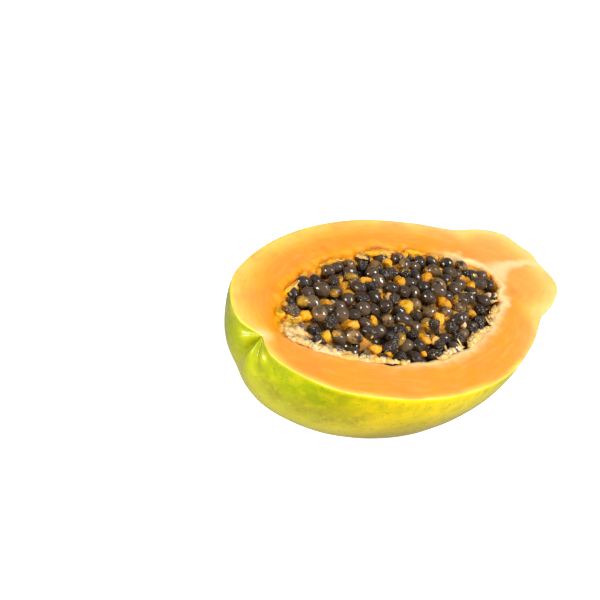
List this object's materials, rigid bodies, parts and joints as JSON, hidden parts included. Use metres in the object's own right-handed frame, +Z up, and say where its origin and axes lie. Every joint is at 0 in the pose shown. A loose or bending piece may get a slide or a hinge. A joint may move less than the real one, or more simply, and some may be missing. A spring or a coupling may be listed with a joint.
{
  "type": "papaya half",
  "caption": "Ripe papaya cut in half lengthwise, lying on its yellow-green skin with the orange flesh and the cavity of dark glossy seeds facing up.",
  "frame": {"origin": "middle of the small flat spot under the skin that the half rests on", "axes": "+X along the fruit towards its stem end, +Y across it towards the raised side of the cut face, +Z up"},
  "size_m": [0.1553, 0.0925, 0.0633],
  "materials": {
    "flesh_and_skin": "moist orange flesh inside a thin yellow-green skin",
    "seed_coat": "glossy, wet, dark brown-grey"
  },
  "bodies": {
    "root": {"papaya_half": "flesh_and_skin", "seeds": "seed_coat"}
  },
  "joints": []
}
